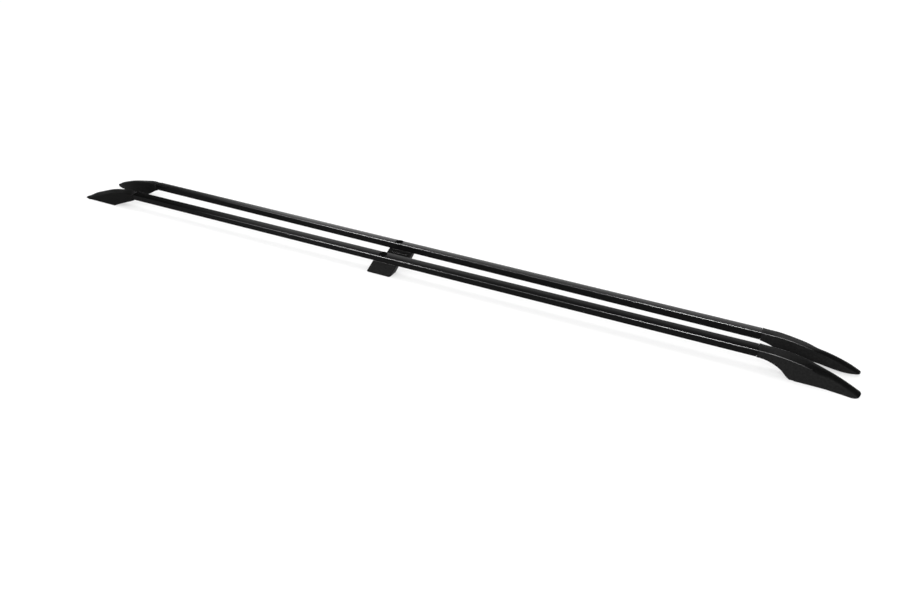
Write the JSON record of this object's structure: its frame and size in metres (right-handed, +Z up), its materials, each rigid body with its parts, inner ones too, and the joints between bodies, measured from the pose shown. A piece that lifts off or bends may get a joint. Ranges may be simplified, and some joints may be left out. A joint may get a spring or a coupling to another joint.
{
  "type": "roof side rail pair",
  "caption": "Mirror-image black roof side rails, each a hollow slotted bar on moulded fin feet at its ends and a block foot in the middle, for bolting to a vehicle's roof.",
  "frame": {"origin": "centre of the box round both rails, at the level of the pads' undersides", "axes": "+X along the rails towards the long front fins, +Y towards the left rail, +Z up from the roof"},
  "size_m": [2.3975, 0.1414, 0.0588],
  "materials": {
    "rail_metal": "satin black coating on extruded aluminium",
    "foot_plastic": "fine-grained black moulding",
    "pad_rubber": "matte black sheet",
    "plug_plastic": "smooth soft black moulding",
    "steel": "zinc-plated"
  },
  "bodies": {
    "root": {"right_rail": "rail_metal", "right_front_foot": "foot_plastic", "right_rear_foot": "foot_plastic", "right_mid_foot": "foot_plastic", "right_front_pad": "pad_rubber", "right_rear_pad": "pad_rubber", "right_mid_pad": "pad_rubber", "right_front_insert": "steel", "right_rear_insert": "steel", "right_mid_sleeve": "steel", "right_front_foot_screws": "steel", "right_rear_foot_screws": "steel", "right_mid_foot_screws": "steel", "right_slot_nuts": "steel", "right_hole_plug": "plug_plastic", "left_rail": "rail_metal", "left_front_foot": "foot_plastic", "left_rear_foot": "foot_plastic", "left_mid_foot": "foot_plastic", "left_front_pad": "pad_rubber", "left_rear_pad": "pad_rubber", "left_mid_pad": "pad_rubber", "left_front_insert": "steel", "left_rear_insert": "steel", "left_mid_sleeve": "steel", "left_front_foot_screws": "steel", "left_rear_foot_screws": "steel", "left_mid_foot_screws": "steel", "left_slot_nuts": "steel", "left_hole_plug": "plug_plastic"}
  },
  "joints": []
}
